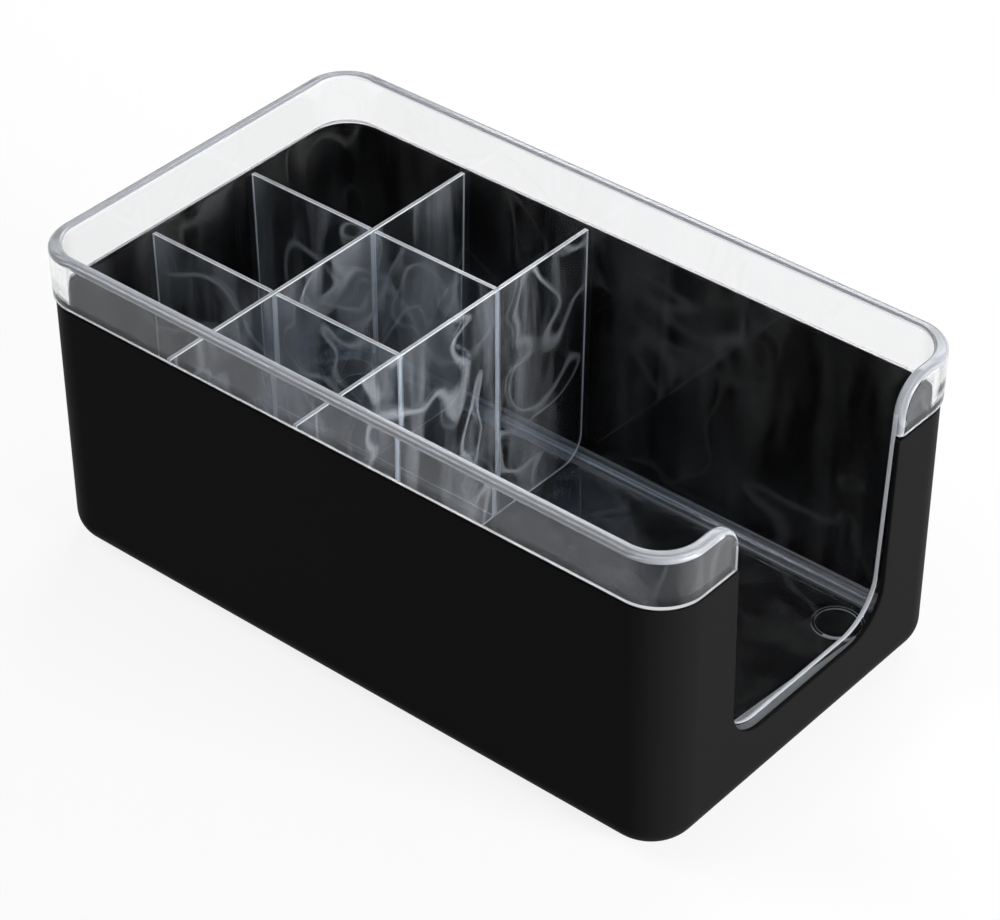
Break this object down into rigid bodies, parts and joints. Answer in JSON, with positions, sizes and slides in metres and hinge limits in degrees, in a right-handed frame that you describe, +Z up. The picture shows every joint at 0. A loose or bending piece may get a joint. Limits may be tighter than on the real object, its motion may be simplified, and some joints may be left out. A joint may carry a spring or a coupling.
{
  "type": "condiment caddy",
  "caption": "Long counter caddy: a black outer shell with an end cut-out, a clear lift-out tray with a thick rim, and a lift-out grid of clear dividers beside an open napkin bay.",
  "frame": {"origin": "middle of the caddy's outline, on the surface under its feet", "axes": "+X towards the open end with the cut-out, +Y towards the back long wall, +Z up"},
  "size_m": [0.3, 0.173, 0.1352],
  "materials": {
    "shell_black": "satin black moulded plastic",
    "clear_tray": "clear polished moulded plastic, very slightly grey",
    "clear_divider": "clear polished plastic sheet with softened top edges",
    "foot_rubber": "matt black rubber"
  },
  "bodies": {
    "shell": {"outer_shell": "shell_black", "foot_closed_front": "foot_rubber", "foot_closed_back": "foot_rubber", "foot_open_front": "foot_rubber", "foot_open_back": "foot_rubber"},
    "tray": {"clear_tray": "clear_tray"},
    "long_dividers": {"long_divider_front": "clear_divider", "long_divider_back": "clear_divider"},
    "mid_divider": {"cross_divider_mid": "clear_divider"},
    "end_divider": {"cross_divider_end": "clear_divider"}
  },
  "joints": [
    {"name": "tray_lift", "type": "slide", "parent": "shell", "child": "tray", "axis": [0, 0, 1], "range_m": [0, 0.14]},
    {"name": "divider_lift", "type": "slide", "parent": "tray", "child": "long_dividers", "axis": [0, 0, 1], "range_m": [0, 0.14]},
    {"name": "mid_divider_lift", "type": "slide", "parent": "long_dividers", "child": "mid_divider", "axis": [0, 0, 1], "range_m": [0, 0.12]},
    {"name": "end_divider_lift", "type": "slide", "parent": "long_dividers", "child": "end_divider", "axis": [0, 0, 1], "range_m": [0, 0.12]}
  ]
}
